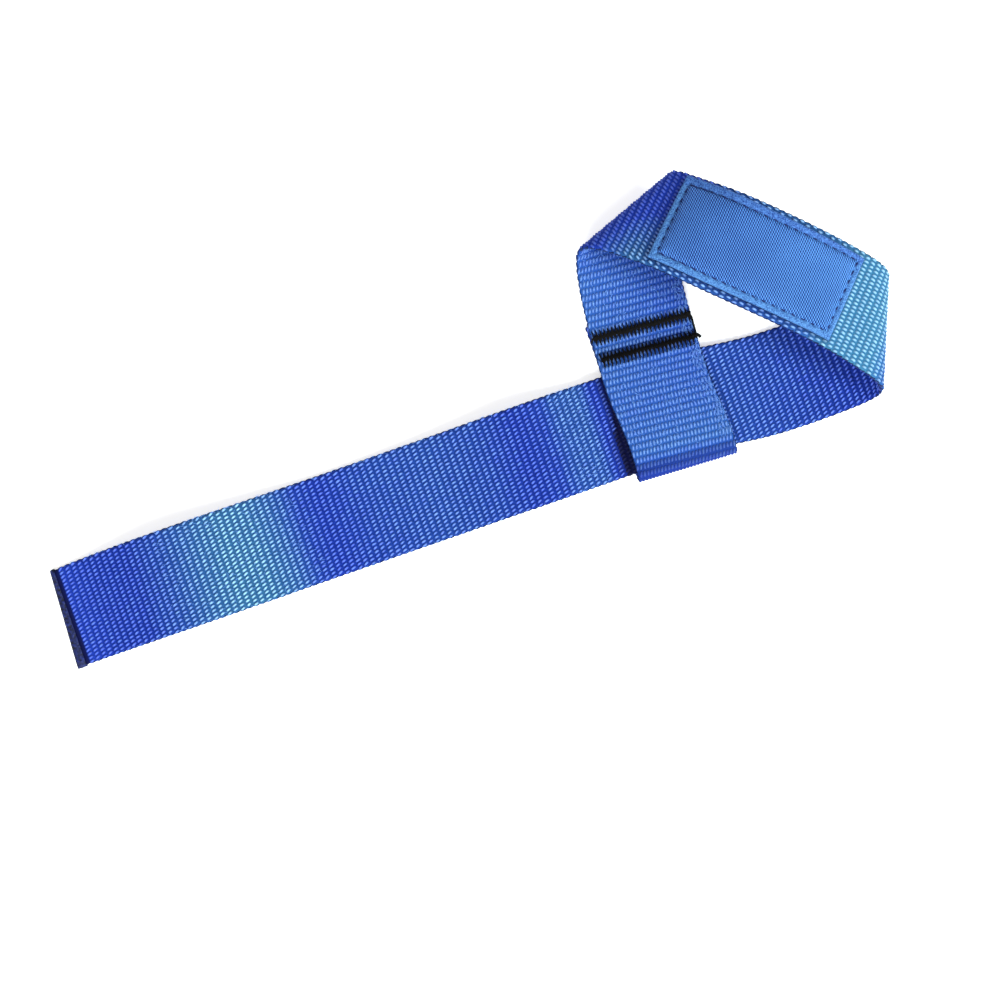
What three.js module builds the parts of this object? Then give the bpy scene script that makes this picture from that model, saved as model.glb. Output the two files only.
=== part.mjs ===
// A weightlifting strap, lying as it was laid down: one strip of webbing whose tail passes through a sewn
// keeper loop, with a padded wrist loop. Millimetres, +Z up, the lowest layer rests on Z = 0.
import * as THREE from 'three';

// Webbing
const webbingWidth = 38;
const webbingThickness = 2.2;
const layerGap = 0.3; // between two layers, or a layer and what is sewn on it
const bedding = 0.1; // how much lower the keeper's lowest layer lies than the free webbing
const selvedgeRound = 0.6; // how far in from the edge the faces start to round off

// How the strip runs
const tailHeading = 19.2; // degrees from +X, seen from above
const tailRun = 233.5; // free end to the keeper, along the strip
const padRun = 110.5; // right fold to left fold, along the strip
const lapPastTacks = 6; // how far the hidden end lies beyond the upper tack
const keeperEase = 3.4; // edge of the tail to the keeper fold
const keeperSlope = 30; // degrees, where the top layer steps up over the tail
const loopHeight = 24; // level of the padded run above the lowest layer
const waveHeight = 8.4; // crests of the tail above the surface
const rightFoldSkew = -21.9; // degrees from square across the strip
const leftFoldSkew = 25.4;
const keeperSkew = 2.2;

// Sewn pieces
const padLength = 69.5;
const padWidth = 32;
const padThickness = 3;
const padHem = 1.5; // thickness along the pad's sewn border
const padEdge = 0.6; // thickness at its very edge
const padBorder = 2.4; // edge to stitch line
const padSetback = 22.3; // right fold to the pad's near end, along the strip
const tackWidth = 5;
const tackLength = 36.5;
const tackThickness = 0.7;
const tackShoulder = 0.5; // share of the thickness at its long edges
const tackSpacing = 9.2;
const tackSetback = 2.8; // edge of the tail to the lower tack's middle
const sealLength = 2.4;
const sealProud = 0.3; // how far the bead stands out past the webbing's edges
const sealRoundness = 0.8; // 0 is square, 1 comes to an edge

const degrees = Math.PI / 180;
const halfWidth = webbingWidth / 2;
const halfThickness = webbingThickness / 2;
const layerStep = webbingThickness + layerGap;
const stepSpread = 1.6 * webbingThickness; // how long the top layer takes to bend at its step over the tail
const padSlope = 1.6 * padBorder; // stitch line to where the padding is full
const colours = { webbing: 0x3a5ab4, pad: 0x3f78cc, thread: 0x15120f, seal: 0x232c5e };

// Waves of the tail: place and rounding as shares of tailRun, lift as a share of waveHeight
const tailWaves = [
  { place: 0.045, lift: 0, rounding: 0.08 },
  { place: 0.2, lift: 1.12, rounding: 0.18 },
  { place: 0.46, lift: 0, rounding: 0.18 },
  { place: 0.63, lift: 0.32, rounding: 0.12 },
  { place: 0.805, lift: 1.1, rounding: 0.11 },
];

// Where the tail meets the keeper: place from the keeper's edges and rounding as shares of webbingWidth
const keeperRamps = [
  { side: -1, place: 0.16, level: 1, rounding: 0.29 },
  { side: 1, place: 0.16, level: 1, rounding: 0.28 },
  { side: 1, place: 0.54, level: 0, rounding: 0.32 },
];

// Bends that make one rounded fold: place from its middle and spread as shares of padRun, turn in degrees.
// The middle bend takes what is left of half a turn, and its spread follows from the fold's height.
const rightFold = {
  lead: { place: 0.28, turn: 10, spread: 0.24 },
  trail: { place: 0.33, turn: 16, spread: 0.5 },
};
const leftFold = {
  lead: { place: 0.28, turn: 24, spread: 0.28 },
  trail: { place: 0.25, turn: 10, spread: 0.18 },
};
const foldEase = 0.7; // 0 bends in a plain arc, 1 starts and ends softly
const keeperFoldEase = 0.3;

// Sideways drift of the strip in its own plane: shift as a share of webbingWidth, over and offset in widths
const drifts = {
  keeper: { offset: 0.58, over: 1.6, shift: -0.1 },
  rightFold: { offset: 0, over: 2.1, shift: 0.11 },
  leftFold: { offset: 0.27, over: 1.3, shift: -0.11 },
  overTail: { offset: 0, over: 1.2, shift: 0.1 },
};

const arcSteps = 40;
const longestStride = 0.2 * webbingWidth; // between the webbing's rings on straight runs
const turnPerRing = 12; // degrees, in bends

// Share of the turn that a bend has reached at a share of its spread
function turned(share, ease) {
  return share - (ease * Math.sin(2 * Math.PI * share)) / (2 * Math.PI);
}

// Mean rise per millimetre through a bend that starts at a given slope
function meanClimb(slope, turn, ease) {
  let climb = 0;
  for (let i = 0; i < arcSteps; i += 1) {
    climb += Math.sin(slope + turn * turned((i + 0.5) / arcSteps, ease)) / arcSteps;
  }
  return climb;
}

// Carries a point of the flat strip through one bend. s and t are its place along and across the strip.
function throughBend(bend, s, t, point) {
  const across = Math.cos(bend.skew);
  const aslant = Math.sin(bend.skew);
  const into = THREE.MathUtils.clamp((s - bend.at) * across + t * aslant + bend.spread / 2, 0, bend.spread);
  let forward = 0;
  let height = 0;
  for (let i = 0; i < arcSteps; i += 1) {
    const slopeHere = bend.turn * turned(((i + 0.5) * into) / (arcSteps * bend.spread), bend.ease);
    forward += (Math.cos(slopeHere) * into) / arcSteps;
    height += (Math.sin(slopeHere) * into) / arcSteps;
  }
  const slope = bend.turn * turned(into / bend.spread, bend.ease);
  const ahead = (point.x - bend.at) * across + point.y * aslant + bend.spread / 2 - into;
  const aside = point.y * across - (point.x - bend.at) * aslant;
  forward += ahead * Math.cos(slope) - point.z * Math.sin(slope) - bend.spread / 2;
  height += ahead * Math.sin(slope) + point.z * Math.cos(slope);
  point.set(bend.at + forward * across - aside * aslant, forward * aslant + aside * across, height);
}

// A point of the laid strap: s along the strip from its free end, t across it, h above its middle layer
function strapPoint(lay, s, t, h = 0) {
  let shifted = t;
  for (const drift of lay.drifts) {
    const share = THREE.MathUtils.clamp((s - drift.at) / drift.over + 0.5, 0, 1);
    shifted += drift.shift * turned(share, 1);
  }
  const point = new THREE.Vector3(s, shifted, h);
  for (let i = lay.bends.length - 1; i >= 0; i -= 1) {
    throughBend(lay.bends[i], s, shifted, point);
  }
  point.applyAxisAngle(new THREE.Vector3(0, 0, 1), tailHeading * degrees);
  point.z += halfThickness;
  return point;
}

// A row of drifts at its place along the strip, in millimetres
function driftAt(row, middle) {
  return {
    at: middle + row.offset * webbingWidth,
    over: row.over * webbingWidth,
    shift: row.shift * webbingWidth,
  };
}

// Waves of the tail and its ramps through the keeper, as bends between straight slopes
function tailBends(keeperAt) {
  const corners = tailWaves.map((wave) => ({
    at: wave.place * keeperAt,
    level: wave.lift * waveHeight,
    spread: wave.rounding * keeperAt,
  }));
  for (const ramp of keeperRamps) {
    corners.push({
      at: keeperAt + ramp.side * (halfWidth + ramp.place * webbingWidth),
      level: ramp.level * layerStep,
      spread: ramp.rounding * webbingWidth,
    });
  }
  let slope = 0;
  return corners.map((corner, i) => {
    const next = corners[i + 1];
    const slopeAfter = next ? Math.asin((next.level - corner.level) / (next.at - corner.at)) : 0;
    const bend = { at: corner.at, skew: 0, turn: slopeAfter - slope, spread: corner.spread, ease: 1 };
    slope = slopeAfter;
    return bend;
  });
}

// Three parallel bends that turn the strip over and change its level by height
function foldBends(middle, skewDegrees, fold, height) {
  const skew = skewDegrees * degrees;
  const [lead, trail] = [fold.lead, fold.trail].map((row) => ({
    turn: row.turn * degrees,
    spread: row.spread * padRun,
    reach: row.place * padRun,
  }));
  const mainTurn = Math.PI - lead.turn - trail.turn;
  const heightWith = (spread) =>
    lead.spread * meanClimb(0, lead.turn, 1) +
    (lead.reach * Math.cos(skew) - (lead.spread + spread) / 2) * Math.sin(lead.turn) +
    spread * meanClimb(lead.turn, mainTurn, foldEase) +
    (trail.reach * Math.cos(skew) - (trail.spread + spread) / 2) * Math.sin(trail.turn) +
    trail.spread * meanClimb(Math.PI - trail.turn, trail.turn, 1);
  const spread = (height - heightWith(0)) / (heightWith(1) - heightWith(0));
  return [
    { at: middle - lead.reach, skew, turn: lead.turn, spread: lead.spread, ease: 1 },
    { at: middle, skew, turn: mainTurn, spread, ease: foldEase },
    { at: middle + trail.reach, skew, turn: trail.turn, spread: trail.spread, ease: 1 },
  ];
}

// Where two straight stretches cross in plan, as the place along each
function crossing(lay, first, second) {
  const [a, b] = first.map((s) => strapPoint(lay, s, 0));
  const [c, d] = second.map((s) => strapPoint(lay, s, 0));
  const along = { x: b.x - a.x, y: b.y - a.y };
  const over = { x: d.x - c.x, y: d.y - c.y };
  const turn = along.x * over.y - along.y * over.x;
  const u = ((c.x - a.x) * over.y - (c.y - a.y) * over.x) / turn;
  const v = ((c.x - a.x) * along.y - (c.y - a.y) * along.x) / turn;
  return [first[0] + u * (first[1] - first[0]), second[0] + v * (second[1] - second[0])];
}

// Places along the top layer, at three points across it, where it passes over one edge of the tail
function edgePlaces(lay, keeperAt, overAt, tailSide) {
  const underKeeper = 0.45 * webbingWidth;
  const searched = 1.2 * webbingWidth;
  const a = strapPoint(lay, keeperAt - underKeeper, tailSide * halfWidth);
  const b = strapPoint(lay, keeperAt + underKeeper, tailSide * halfWidth);
  const aside = (p) => (b.x - a.x) * (p.y - a.y) - (b.y - a.y) * (p.x - a.x);
  return [-halfWidth, 0, halfWidth].map((t) => {
    let near = overAt - searched;
    let far = overAt + searched;
    for (let i = 0; i < arcSteps; i += 1) {
      const middle = (near + far) / 2;
      if (aside(strapPoint(lay, middle, t)) > 0) near = middle;
      else far = middle;
    }
    return (near + far) / 2;
  });
}

// Works out every bend from the driving sizes: the loop is closed where its last run crosses the tail
function layOut() {
  const lay = { bends: [], drifts: [] };
  const sewnLevel = layerStep; // of the top layer before it steps up
  const straight = { from: 0.6 * padRun, to: 0.8 * padRun }; // past the left fold's last bend
  let rightAt = tailRun + 0.8 * padRun; // a first guess
  let overAt = 0;
  for (let round = 0; round < 4; round += 1) {
    const leftAt = rightAt + padRun;
    lay.bends = [
      ...tailBends(tailRun),
      ...foldBends(rightAt, rightFoldSkew, rightFold, loopHeight),
      ...foldBends(leftAt, leftFoldSkew, leftFold, loopHeight - sewnLevel),
    ];
    lay.drifts = [
      driftAt(drifts.keeper, tailRun),
      driftAt(drifts.rightFold, rightAt),
      driftAt(drifts.leftFold, leftAt),
    ];
    const lastRun = [leftAt + straight.from, leftAt + straight.to];
    const crossed = crossing(lay, [tailRun - halfWidth / 2, tailRun + halfWidth / 2], lastRun);
    overAt = crossed[1];
    lay.rightAt = rightAt;
    lay.leftAt = leftAt;
    rightAt += tailRun - crossed[0];
  }
  lay.drifts.push(driftAt(drifts.overTail, overAt));
  lay.tailEdge = Math.min(...edgePlaces(lay, tailRun, overAt, 1));
  lay.keeperFold = Math.max(...edgePlaces(lay, tailRun, overAt, -1)) + keeperEase;
  const stepUp = keeperSlope * degrees;
  const stepEnd = lay.tailEdge - layerGap - 0.4 * stepSpread; // level just before the tail's edge
  const stepStart = stepEnd - layerStep / Math.sin(stepUp);
  const wrap = (2 * layerStep + bedding) / meanClimb(0, Math.PI, keeperFoldEase);
  lay.bends.push(
    { at: stepStart, skew: 0, turn: stepUp, spread: stepSpread, ease: foldEase },
    { at: stepEnd, skew: 0, turn: -stepUp, spread: stepSpread, ease: foldEase },
    { at: lay.keeperFold, skew: keeperSkew * degrees, turn: -Math.PI, spread: wrap, ease: keeperFoldEase },
  );
  lay.lowerTack = lay.tailEdge - tackSetback;
  lay.upperTack = lay.lowerTack - tackSpacing;
  lay.end = 2 * lay.keeperFold - lay.upperTack + lapPastTacks;
  return lay;
}

// One closed body from a row of closed rings, with flat ends
function skin(rings) {
  const positions = [];
  const faces = [];
  const count = rings[0].length;
  const add = (point) => positions.push(point.x, point.y, point.z) / 3 - 1;
  const starts = rings.map((ring) => ring.map(add)[0]);
  for (let i = 0; i + 1 < rings.length; i += 1) {
    for (let j = 0; j < count; j += 1) {
      const next = (j + 1) % count;
      const [a, b] = [starts[i] + j, starts[i] + next];
      const [c, d] = [starts[i + 1] + j, starts[i + 1] + next];
      faces.push(a, c, d, a, d, b);
    }
  }
  for (const [start, ring, facing] of [[starts[0], rings[0], 1], [starts.at(-1), rings.at(-1), -1]]) {
    const middle = ring.reduce((sum, point) => sum.add(point), new THREE.Vector3()).divideScalar(count);
    const hub = add(middle);
    for (let j = 0; j < count; j += 1) {
      const next = (j + 1) % count;
      faces.push(hub, start + (facing > 0 ? j : next), start + (facing > 0 ? next : j));
    }
  }
  const geometry = new THREE.BufferGeometry();
  geometry.setAttribute('position', new THREE.Float32BufferAttribute(positions, 3));
  geometry.setIndex(faces);
  geometry.computeVertexNormals();
  return geometry;
}

function piece(name, geometry, colour, roughness) {
  const material = new THREE.MeshStandardMaterial({ color: colour, roughness, metalness: 0 });
  const mesh = new THREE.Mesh(geometry, material);
  mesh.name = name;
  return mesh;
}

// Even steps from one value to another, both ends included
function steps(from, to, longest) {
  const count = Math.max(1, Math.ceil((to - from) / longest - 1e-6));
  return Array.from({ length: count + 1 }, (_, i) => from + ((to - from) * i) / count);
}

// Places along the strip for the webbing's rings: close together in bends, wide apart on straight runs
function stations(lay, from, to) {
  const places = [from];
  while (places.at(-1) < to - 0.4 * webbingThickness) {
    const here = places.at(-1);
    let stride = longestStride;
    for (const bend of lay.bends) {
      const near = Math.abs(here - bend.at) - bend.spread / (2 * Math.cos(bend.skew));
      const sharpest = (bend.turn * (1 + bend.ease)) / bend.spread;
      const closest = (turnPerRing * degrees) / Math.abs(sharpest);
      stride = Math.min(stride, Math.max(closest, near));
    }
    places.push(Math.min(here + stride, to));
  }
  places[places.length - 1] = to;
  return places;
}

// Skew of the rulings at a place along the strip, from the bends on either side
function skewAt(lay, s) {
  const knots = [{ at: 0, skew: 0 }, ...lay.bends, { at: lay.end, skew: 0 }];
  const after = knots.findIndex((knot, i) => i > 0 && knot.at >= s);
  const [a, b] = [knots[after - 1], knots[after]];
  const share = (s - a.at) / Math.max(b.at - a.at, webbingThickness);
  return THREE.MathUtils.lerp(a.skew, b.skew, THREE.MathUtils.clamp(share, 0, 1));
}

function webbing(lay) {
  const flat = steps(selvedgeRound - halfWidth, halfWidth - selvedgeRound, webbingWidth / 6);
  const section = [
    ...flat.map((t) => [t, halfThickness]),
    [halfWidth, 0],
    ...flat.toReversed().map((t) => [t, -halfThickness]),
    [-halfWidth, 0],
  ];
  const rings = stations(lay, sealLength + layerGap, lay.end).map((s) => {
    const slant = Math.tan(skewAt(lay, s));
    return section.map(([t, h]) => strapPoint(lay, s - t * slant, t, h));
  });
  return piece('webbing', skin(rings), colours.webbing, 0.8);
}

// The bead across the free end, rounder than the webbing and a little wider
function sealedEnd(lay) {
  const shares = [0, 0.2, 0.5, 0.8, 1];
  const rings = shares.map((share) => {
    const bulge = Math.sqrt(1 - sealRoundness * (2 * share - 1) ** 2);
    const across = halfWidth + sealProud - (1 - bulge) * sealProud;
    const flat = steps(-across, across, webbingWidth / 6);
    const section = [
      ...flat.map((t) => [t, halfThickness * bulge]),
      ...flat.toReversed().map((t) => [t, -halfThickness * bulge]),
    ];
    return section.map(([t, h]) => strapPoint(lay, share * sealLength, t, h));
  });
  return piece('sealed_end', skin(rings), colours.seal, 0.5);
}

// Padded cover on the loop's outer face, full inside its stitch line and thin along its border
function wristPad(lay) {
  const seat = halfThickness + layerGap;
  const rise = (inset) => {
    if (inset <= 0) return padEdge;
    if (inset <= padBorder) return padHem;
    const share = Math.min((inset - padBorder) / padSlope, 1);
    return padHem + (padThickness - padHem) * Math.sin((share * Math.PI) / 2);
  };
  const lines = (size, longest) => {
    const edge = [0, padBorder / 4, padBorder, padBorder + padSlope / 3, padBorder + padSlope];
    const inner = steps(edge.at(-1), size - edge.at(-1), longest).slice(1, -1);
    return [...edge, ...inner, ...edge.toReversed().map((inset) => size - inset)];
  };
  const across = lines(padWidth, padWidth / 4);
  const rings = lines(padLength, padLength / 14).map((along) => {
    const s = lay.rightAt + padSetback + along;
    const endInset = Math.min(along, padLength - along);
    const top = across.map((t) => [t - padWidth / 2, -seat - rise(Math.min(endInset, t, padWidth - t))]);
    const seatLine = across.toReversed().map((t) => [t - padWidth / 2, -seat]);
    return [...top, ...seatLine].map(([t, h]) => strapPoint(lay, s, t, h)).reverse();
  });
  return piece('wrist_pad', skin(rings), colours.pad, 0.6);
}

// A flat band of thread across the lap, seated on the top layer
function barTack(lay, name, middle) {
  const seat = halfThickness + layerGap;
  const along = [0, 0.2, 0.5, 0.8, 1];
  const flat = steps(-tackLength / 2, tackLength / 2, tackLength / 6);
  const rings = along.map((share) => {
    const crown = share === 0 || share === 1 ? tackShoulder : 1;
    const s = middle + (share - 0.5) * tackWidth;
    const section = [
      ...flat.map((t) => [t, seat + crown * tackThickness]),
      ...flat.toReversed().map((t) => [t, seat]),
    ];
    return section.map(([t, h]) => strapPoint(lay, s, t, h));
  });
  return piece(name, skin(rings), colours.thread, 0.7);
}

const lay = layOut();
const strap = new THREE.Group();
strap.add(
  webbing(lay),
  wristPad(lay),
  barTack(lay, 'upper_bar_tack', lay.upperTack),
  barTack(lay, 'lower_bar_tack', lay.lowerTack),
  sealedEnd(lay),
);

// The origin is under the middle of the strap, on the surface that its lowest layer rests on
const extent = new THREE.Box3().setFromObject(strap);
const middle = extent.getCenter(new THREE.Vector3());
strap.position.set(-middle.x, -middle.y, -extent.min.z);

export default strap;
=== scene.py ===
from math import asin, cos, pi, radians, sin

import bpy
import numpy as np
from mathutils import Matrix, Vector


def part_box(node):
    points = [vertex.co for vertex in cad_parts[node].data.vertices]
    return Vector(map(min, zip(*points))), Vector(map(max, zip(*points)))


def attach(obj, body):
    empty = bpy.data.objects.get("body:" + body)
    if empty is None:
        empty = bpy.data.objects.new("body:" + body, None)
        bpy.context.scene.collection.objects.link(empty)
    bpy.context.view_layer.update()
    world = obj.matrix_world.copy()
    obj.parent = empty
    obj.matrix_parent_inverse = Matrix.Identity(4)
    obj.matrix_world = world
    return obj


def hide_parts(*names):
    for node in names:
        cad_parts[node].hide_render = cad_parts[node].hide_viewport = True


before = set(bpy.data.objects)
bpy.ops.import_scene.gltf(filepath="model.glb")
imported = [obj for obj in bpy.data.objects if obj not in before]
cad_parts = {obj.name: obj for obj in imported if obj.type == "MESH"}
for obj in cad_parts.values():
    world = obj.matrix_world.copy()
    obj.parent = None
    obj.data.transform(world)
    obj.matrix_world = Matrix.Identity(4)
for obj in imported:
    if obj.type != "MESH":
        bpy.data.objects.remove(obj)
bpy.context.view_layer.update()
mm = 0.001  # the strap is worked out in millimetres and made in metres
print("frame loaded")


# Node trees, for finishes and for repeated pieces

class Wire:  # a socket that takes part in Python's arithmetic
    def __init__(self, graph, socket):
        self.graph = graph
        self.socket = socket

    def maths(self, operation, *values):
        return self.graph.make("ShaderNodeMath", {"operation": operation}, values)

    def __add__(self, other):
        return self.maths("ADD", self, other)

    def __radd__(self, other):
        return self.maths("ADD", other, self)

    def __sub__(self, other):
        return self.maths("SUBTRACT", self, other)

    def __rsub__(self, other):
        return self.maths("SUBTRACT", other, self)

    def __mul__(self, other):
        return self.maths("MULTIPLY", self, other)

    def __rmul__(self, other):
        return self.maths("MULTIPLY", other, self)

    def __truediv__(self, other):
        return self.maths("DIVIDE", self, other)

    def __pow__(self, other):
        return self.maths("POWER", self, other)

    def atLeast(self, other):
        return self.maths("MAXIMUM", self, other)


class Graph:
    def __init__(self, tree):
        self.tree = tree

    def pick(self, sockets, key):
        if isinstance(key, int):
            return sockets[key]
        return next(socket for socket in sockets if socket.name == key and socket.enabled)

    def make(self, kind, settings=None, values=None, out=0):
        node = self.tree.nodes.new(kind)
        for key, value in (settings or {}).items():
            setattr(node, key, value)
        pairs = values.items() if isinstance(values, dict) else enumerate(values or [])
        for key, value in pairs:
            socket = self.pick(node.inputs, key)
            if isinstance(value, Wire):
                self.tree.links.new(value.socket, socket)
            else:
                socket.default_value = value
        if not node.outputs:
            return node
        if isinstance(out, tuple):
            return [Wire(self, self.pick(node.outputs, key)) for key in out]
        return Wire(self, self.pick(node.outputs, out))

    def wave(self, value):  # from 0 to 1, once a whole number
        return (value * (2 * pi)).maths("SINE", value * (2 * pi)) * 0.5 + 0.5

    def blendColours(self, share, first, second):
        settings = {"data_type": "RGBA", "clamp_factor": True}
        return self.make("ShaderNodeMix", settings, {0: share, 6: first, 7: second}, out=2)

    def noise(self, scale, detail=2.0):
        place = self.make("ShaderNodeTexCoord", {}, {}, out="Object")
        return self.make("ShaderNodeTexNoise", {}, {"Vector": place, "Scale": scale, "Detail": detail})

    def bump(self, height, strength, distance):
        return self.make("ShaderNodeBump", {}, {"Strength": strength, "Distance": distance, "Height": height})

    def parts(self, vector):
        return self.make("ShaderNodeSeparateXYZ", {}, {0: vector}, out=(0, 1, 2))

    def attribute(self, name, out="Fac"):
        return self.make("ShaderNodeAttribute", {"attribute_name": name}, {}, out=out)


def colour(red, green, blue):
    return (red, green, blue, 1.0)


def finish(name, build):  # build gives the values and links of the Principled shader
    material = bpy.data.materials.new(name)
    material.use_nodes = True
    material.node_tree.nodes.clear()
    graph = Graph(material.node_tree)
    shader = graph.make("ShaderNodeBsdfPrincipled", {}, build(graph), out="BSDF")
    graph.make("ShaderNodeOutputMaterial", {}, {"Surface": shader})
    return material


# How the strip of webbing is laid, in millimetres and degrees, as the construction model has it

strap = {
    "width": 38, "thickness": 2.2, "layerGap": 0.3, "bedding": 0.1,
    "tailHeading": 19.2, "tailRun": 233.5, "padRun": 110.5, "lapPastTacks": 6,
    "keeperEase": 3.4, "keeperSlope": 30, "loopHeight": 24, "waveHeight": 8.4,
    "rightFoldSkew": -21.9, "leftFoldSkew": 25.4, "keeperSkew": 2.2,
    "tackSpacing": 9.2, "tackSetback": 2.8, "sealLength": 2.4, "foldEase": 0.7, "keeperFoldEase": 0.3,
}
tailWaves = [  # place and rounding as shares of tailRun, lift as a share of waveHeight
    {"place": 0.045, "lift": 0, "rounding": 0.08},
    {"place": 0.2, "lift": 1.12, "rounding": 0.18},
    {"place": 0.46, "lift": 0, "rounding": 0.18},
    {"place": 0.63, "lift": 0.32, "rounding": 0.12},
    {"place": 0.805, "lift": 1.1, "rounding": 0.11},
]
keeperRamps = [  # shares of the width, from the keeper's edges
    {"side": -1, "place": 0.16, "level": 1, "rounding": 0.29},
    {"side": 1, "place": 0.16, "level": 1, "rounding": 0.28},
    {"side": 1, "place": 0.54, "level": 0, "rounding": 0.32},
]
folds = {  # place and spread as shares of padRun, turn in degrees
    "right": {
        "lead": {"place": 0.28, "turn": 10, "spread": 0.24},
        "trail": {"place": 0.33, "turn": 16, "spread": 0.5},
    },
    "left": {
        "lead": {"place": 0.28, "turn": 24, "spread": 0.28},
        "trail": {"place": 0.25, "turn": 10, "spread": 0.18},
    },
}
drifts = {  # sideways in the strip's own plane, in widths
    "keeper": {"offset": 0.58, "over": 1.6, "shift": -0.1},
    "rightFold": {"offset": 0, "over": 2.1, "shift": 0.11},
    "leftFold": {"offset": 0.27, "over": 1.3, "shift": -0.11},
    "overTail": {"offset": 0, "over": 1.2, "shift": 0.1},
}
search = {  # how the layout is found: runs as shares of padRun, reaches in widths
    "rounds": 4, "firstLoopRun": 0.8, "lastRun": (0.6, 0.8), "tailReach": 0.45, "overReach": 1.2,
    "samples": 4001, "wallStep": 0.5, "pastSeal": 0.3, "flatShare": 0.97,
}
keeperCorner = {"spread": 1.6, "setback": 0.4}  # spread in thicknesses, setback as a share of it
halfWidth = strap["width"] / 2
halfThickness = strap["thickness"] / 2
layerStep = strap["thickness"] + strap["layerGap"]
arcSteps = 400


def turned(share, ease):  # share of the turn reached at a share of the spread
    return share - ease * np.sin(2 * pi * share) / (2 * pi)


def meanClimb(slope, turn, ease):
    share = (np.arange(arcSteps) + 0.5) / arcSteps
    return float(np.sin(slope + turn * turned(share, ease)).mean())


def makeBend(at, skew, turn, spread, ease):
    share = (np.arange(arcSteps) + 0.5) / arcSteps
    slope = turn * turned(share, ease)
    forward = np.concatenate([[0], np.cumsum(np.cos(slope))]) * spread / arcSteps
    height = np.concatenate([[0], np.cumsum(np.sin(slope))]) * spread / arcSteps
    return {
        "at": at, "skew": skew, "turn": turn, "spread": spread, "ease": ease,
        "into": np.linspace(0, spread, arcSteps + 1), "forward": forward, "height": height,
    }


def throughBend(bend, s, t, points):
    across, aslant = cos(bend["skew"]), sin(bend["skew"])
    half = bend["spread"] / 2
    into = np.clip((s - bend["at"]) * across + t * aslant + half, 0, bend["spread"])
    forward = np.interp(into, bend["into"], bend["forward"])
    height = np.interp(into, bend["into"], bend["height"])
    slope = bend["turn"] * turned(into / bend["spread"], bend["ease"])
    x, y, z = points[:, 0] - bend["at"], points[:, 1], points[:, 2]
    ahead = x * across + y * aslant + half - into
    aside = y * across - x * aslant
    forward = forward + ahead * np.cos(slope) - z * np.sin(slope) - half
    height = height + ahead * np.sin(slope) + z * np.cos(slope)
    places = [bend["at"] + forward * across - aside * aslant, forward * aslant + aside * across, height]
    return np.column_stack(places)


def layPoints(lay, s, t, h=0.0):  # s along the strip, t across it, h above its middle layer
    s, t, h = (np.ravel(v).astype(float) for v in np.broadcast_arrays(s, t, h))
    for drift in lay["drifts"]:
        share = np.clip((s - drift["at"]) / drift["over"] + 0.5, 0, 1)
        t = t + drift["shift"] * turned(share, 1)
    points = np.column_stack([s, t, h])
    for bend in reversed(lay["bends"]):
        points = throughBend(bend, s, t, points)
    heading = radians(strap["tailHeading"])
    x = points[:, 0] * cos(heading) - points[:, 1] * sin(heading)
    y = points[:, 0] * sin(heading) + points[:, 1] * cos(heading)
    return np.column_stack([x, y, points[:, 2] + halfThickness]) + lay["offset"]


def driftAt(name, middle):
    at, over, shift = (drifts[name][key] * strap["width"] for key in ("offset", "over", "shift"))
    return {"at": middle + at, "over": over, "shift": shift}


def tailBends(keeperAt):
    width = strap["width"]
    corners = [
        (wave["place"] * keeperAt, wave["lift"] * strap["waveHeight"], wave["rounding"] * keeperAt)
        for wave in tailWaves
    ]
    for ramp in keeperRamps:
        at = keeperAt + ramp["side"] * (halfWidth + ramp["place"] * width)
        corners.append((at, ramp["level"] * layerStep, ramp["rounding"] * width))
    bends, slope = [], 0.0
    for i, (at, level, spread) in enumerate(corners):
        after = 0.0
        if i + 1 < len(corners):
            after = asin((corners[i + 1][1] - level) / (corners[i + 1][0] - at))
        bends.append(makeBend(at, 0, after - slope, spread, 1))
        slope = after
    return bends


def foldBends(middle, skewDegrees, fold, height):
    skew, ease = radians(skewDegrees), strap["foldEase"]
    padRun = strap["padRun"]
    lead, trail = (
        {"turn": radians(row["turn"]), "spread": row["spread"] * padRun, "reach": row["place"] * padRun}
        for row in (fold["lead"], fold["trail"])
    )
    mainTurn = pi - lead["turn"] - trail["turn"]

    def heightWith(spread):
        leadRun = lead["reach"] * cos(skew) - (lead["spread"] + spread) / 2
        trailRun = trail["reach"] * cos(skew) - (trail["spread"] + spread) / 2
        rise = lead["spread"] * meanClimb(0, lead["turn"], 1) + leadRun * sin(lead["turn"])
        rise += spread * meanClimb(lead["turn"], mainTurn, ease) + trailRun * sin(trail["turn"])
        return rise + trail["spread"] * meanClimb(pi - trail["turn"], trail["turn"], 1)

    spread = (height - heightWith(0)) / (heightWith(1) - heightWith(0))
    return [
        makeBend(middle - lead["reach"], skew, lead["turn"], lead["spread"], 1),
        makeBend(middle, skew, mainTurn, spread, ease),
        makeBend(middle + trail["reach"], skew, trail["turn"], trail["spread"], 1),
    ]


def crossing(lay, first, second):  # where two straight stretches cross in plan
    a, b = layPoints(lay, first, 0)[:, :2]
    c, d = layPoints(lay, second, 0)[:, :2]
    shares = np.linalg.solve(np.column_stack([b - a, c - d]), c - a)
    return [first[0] + shares[0] * (first[1] - first[0]), second[0] + shares[1] * (second[1] - second[0])]


def edgePlaces(lay, keeperAt, overAt, tailSide):  # where the top layer passes over an edge of the tail
    tailReach, overReach = (search[key] * strap["width"] for key in ("tailReach", "overReach"))
    a, b = layPoints(lay, [keeperAt - tailReach, keeperAt + tailReach], tailSide * halfWidth)[:, :2]
    places = []
    for t in (-halfWidth, 0, halfWidth):
        s = np.linspace(overAt - overReach, overAt + overReach, search["samples"])
        p = layPoints(lay, s, t)[:, :2]
        aside = (b[0] - a[0]) * (p[:, 1] - a[1]) - (b[1] - a[1]) * (p[:, 0] - a[0])
        places.append(float(s[np.argmax(aside <= 0)]))
    return places


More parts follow.
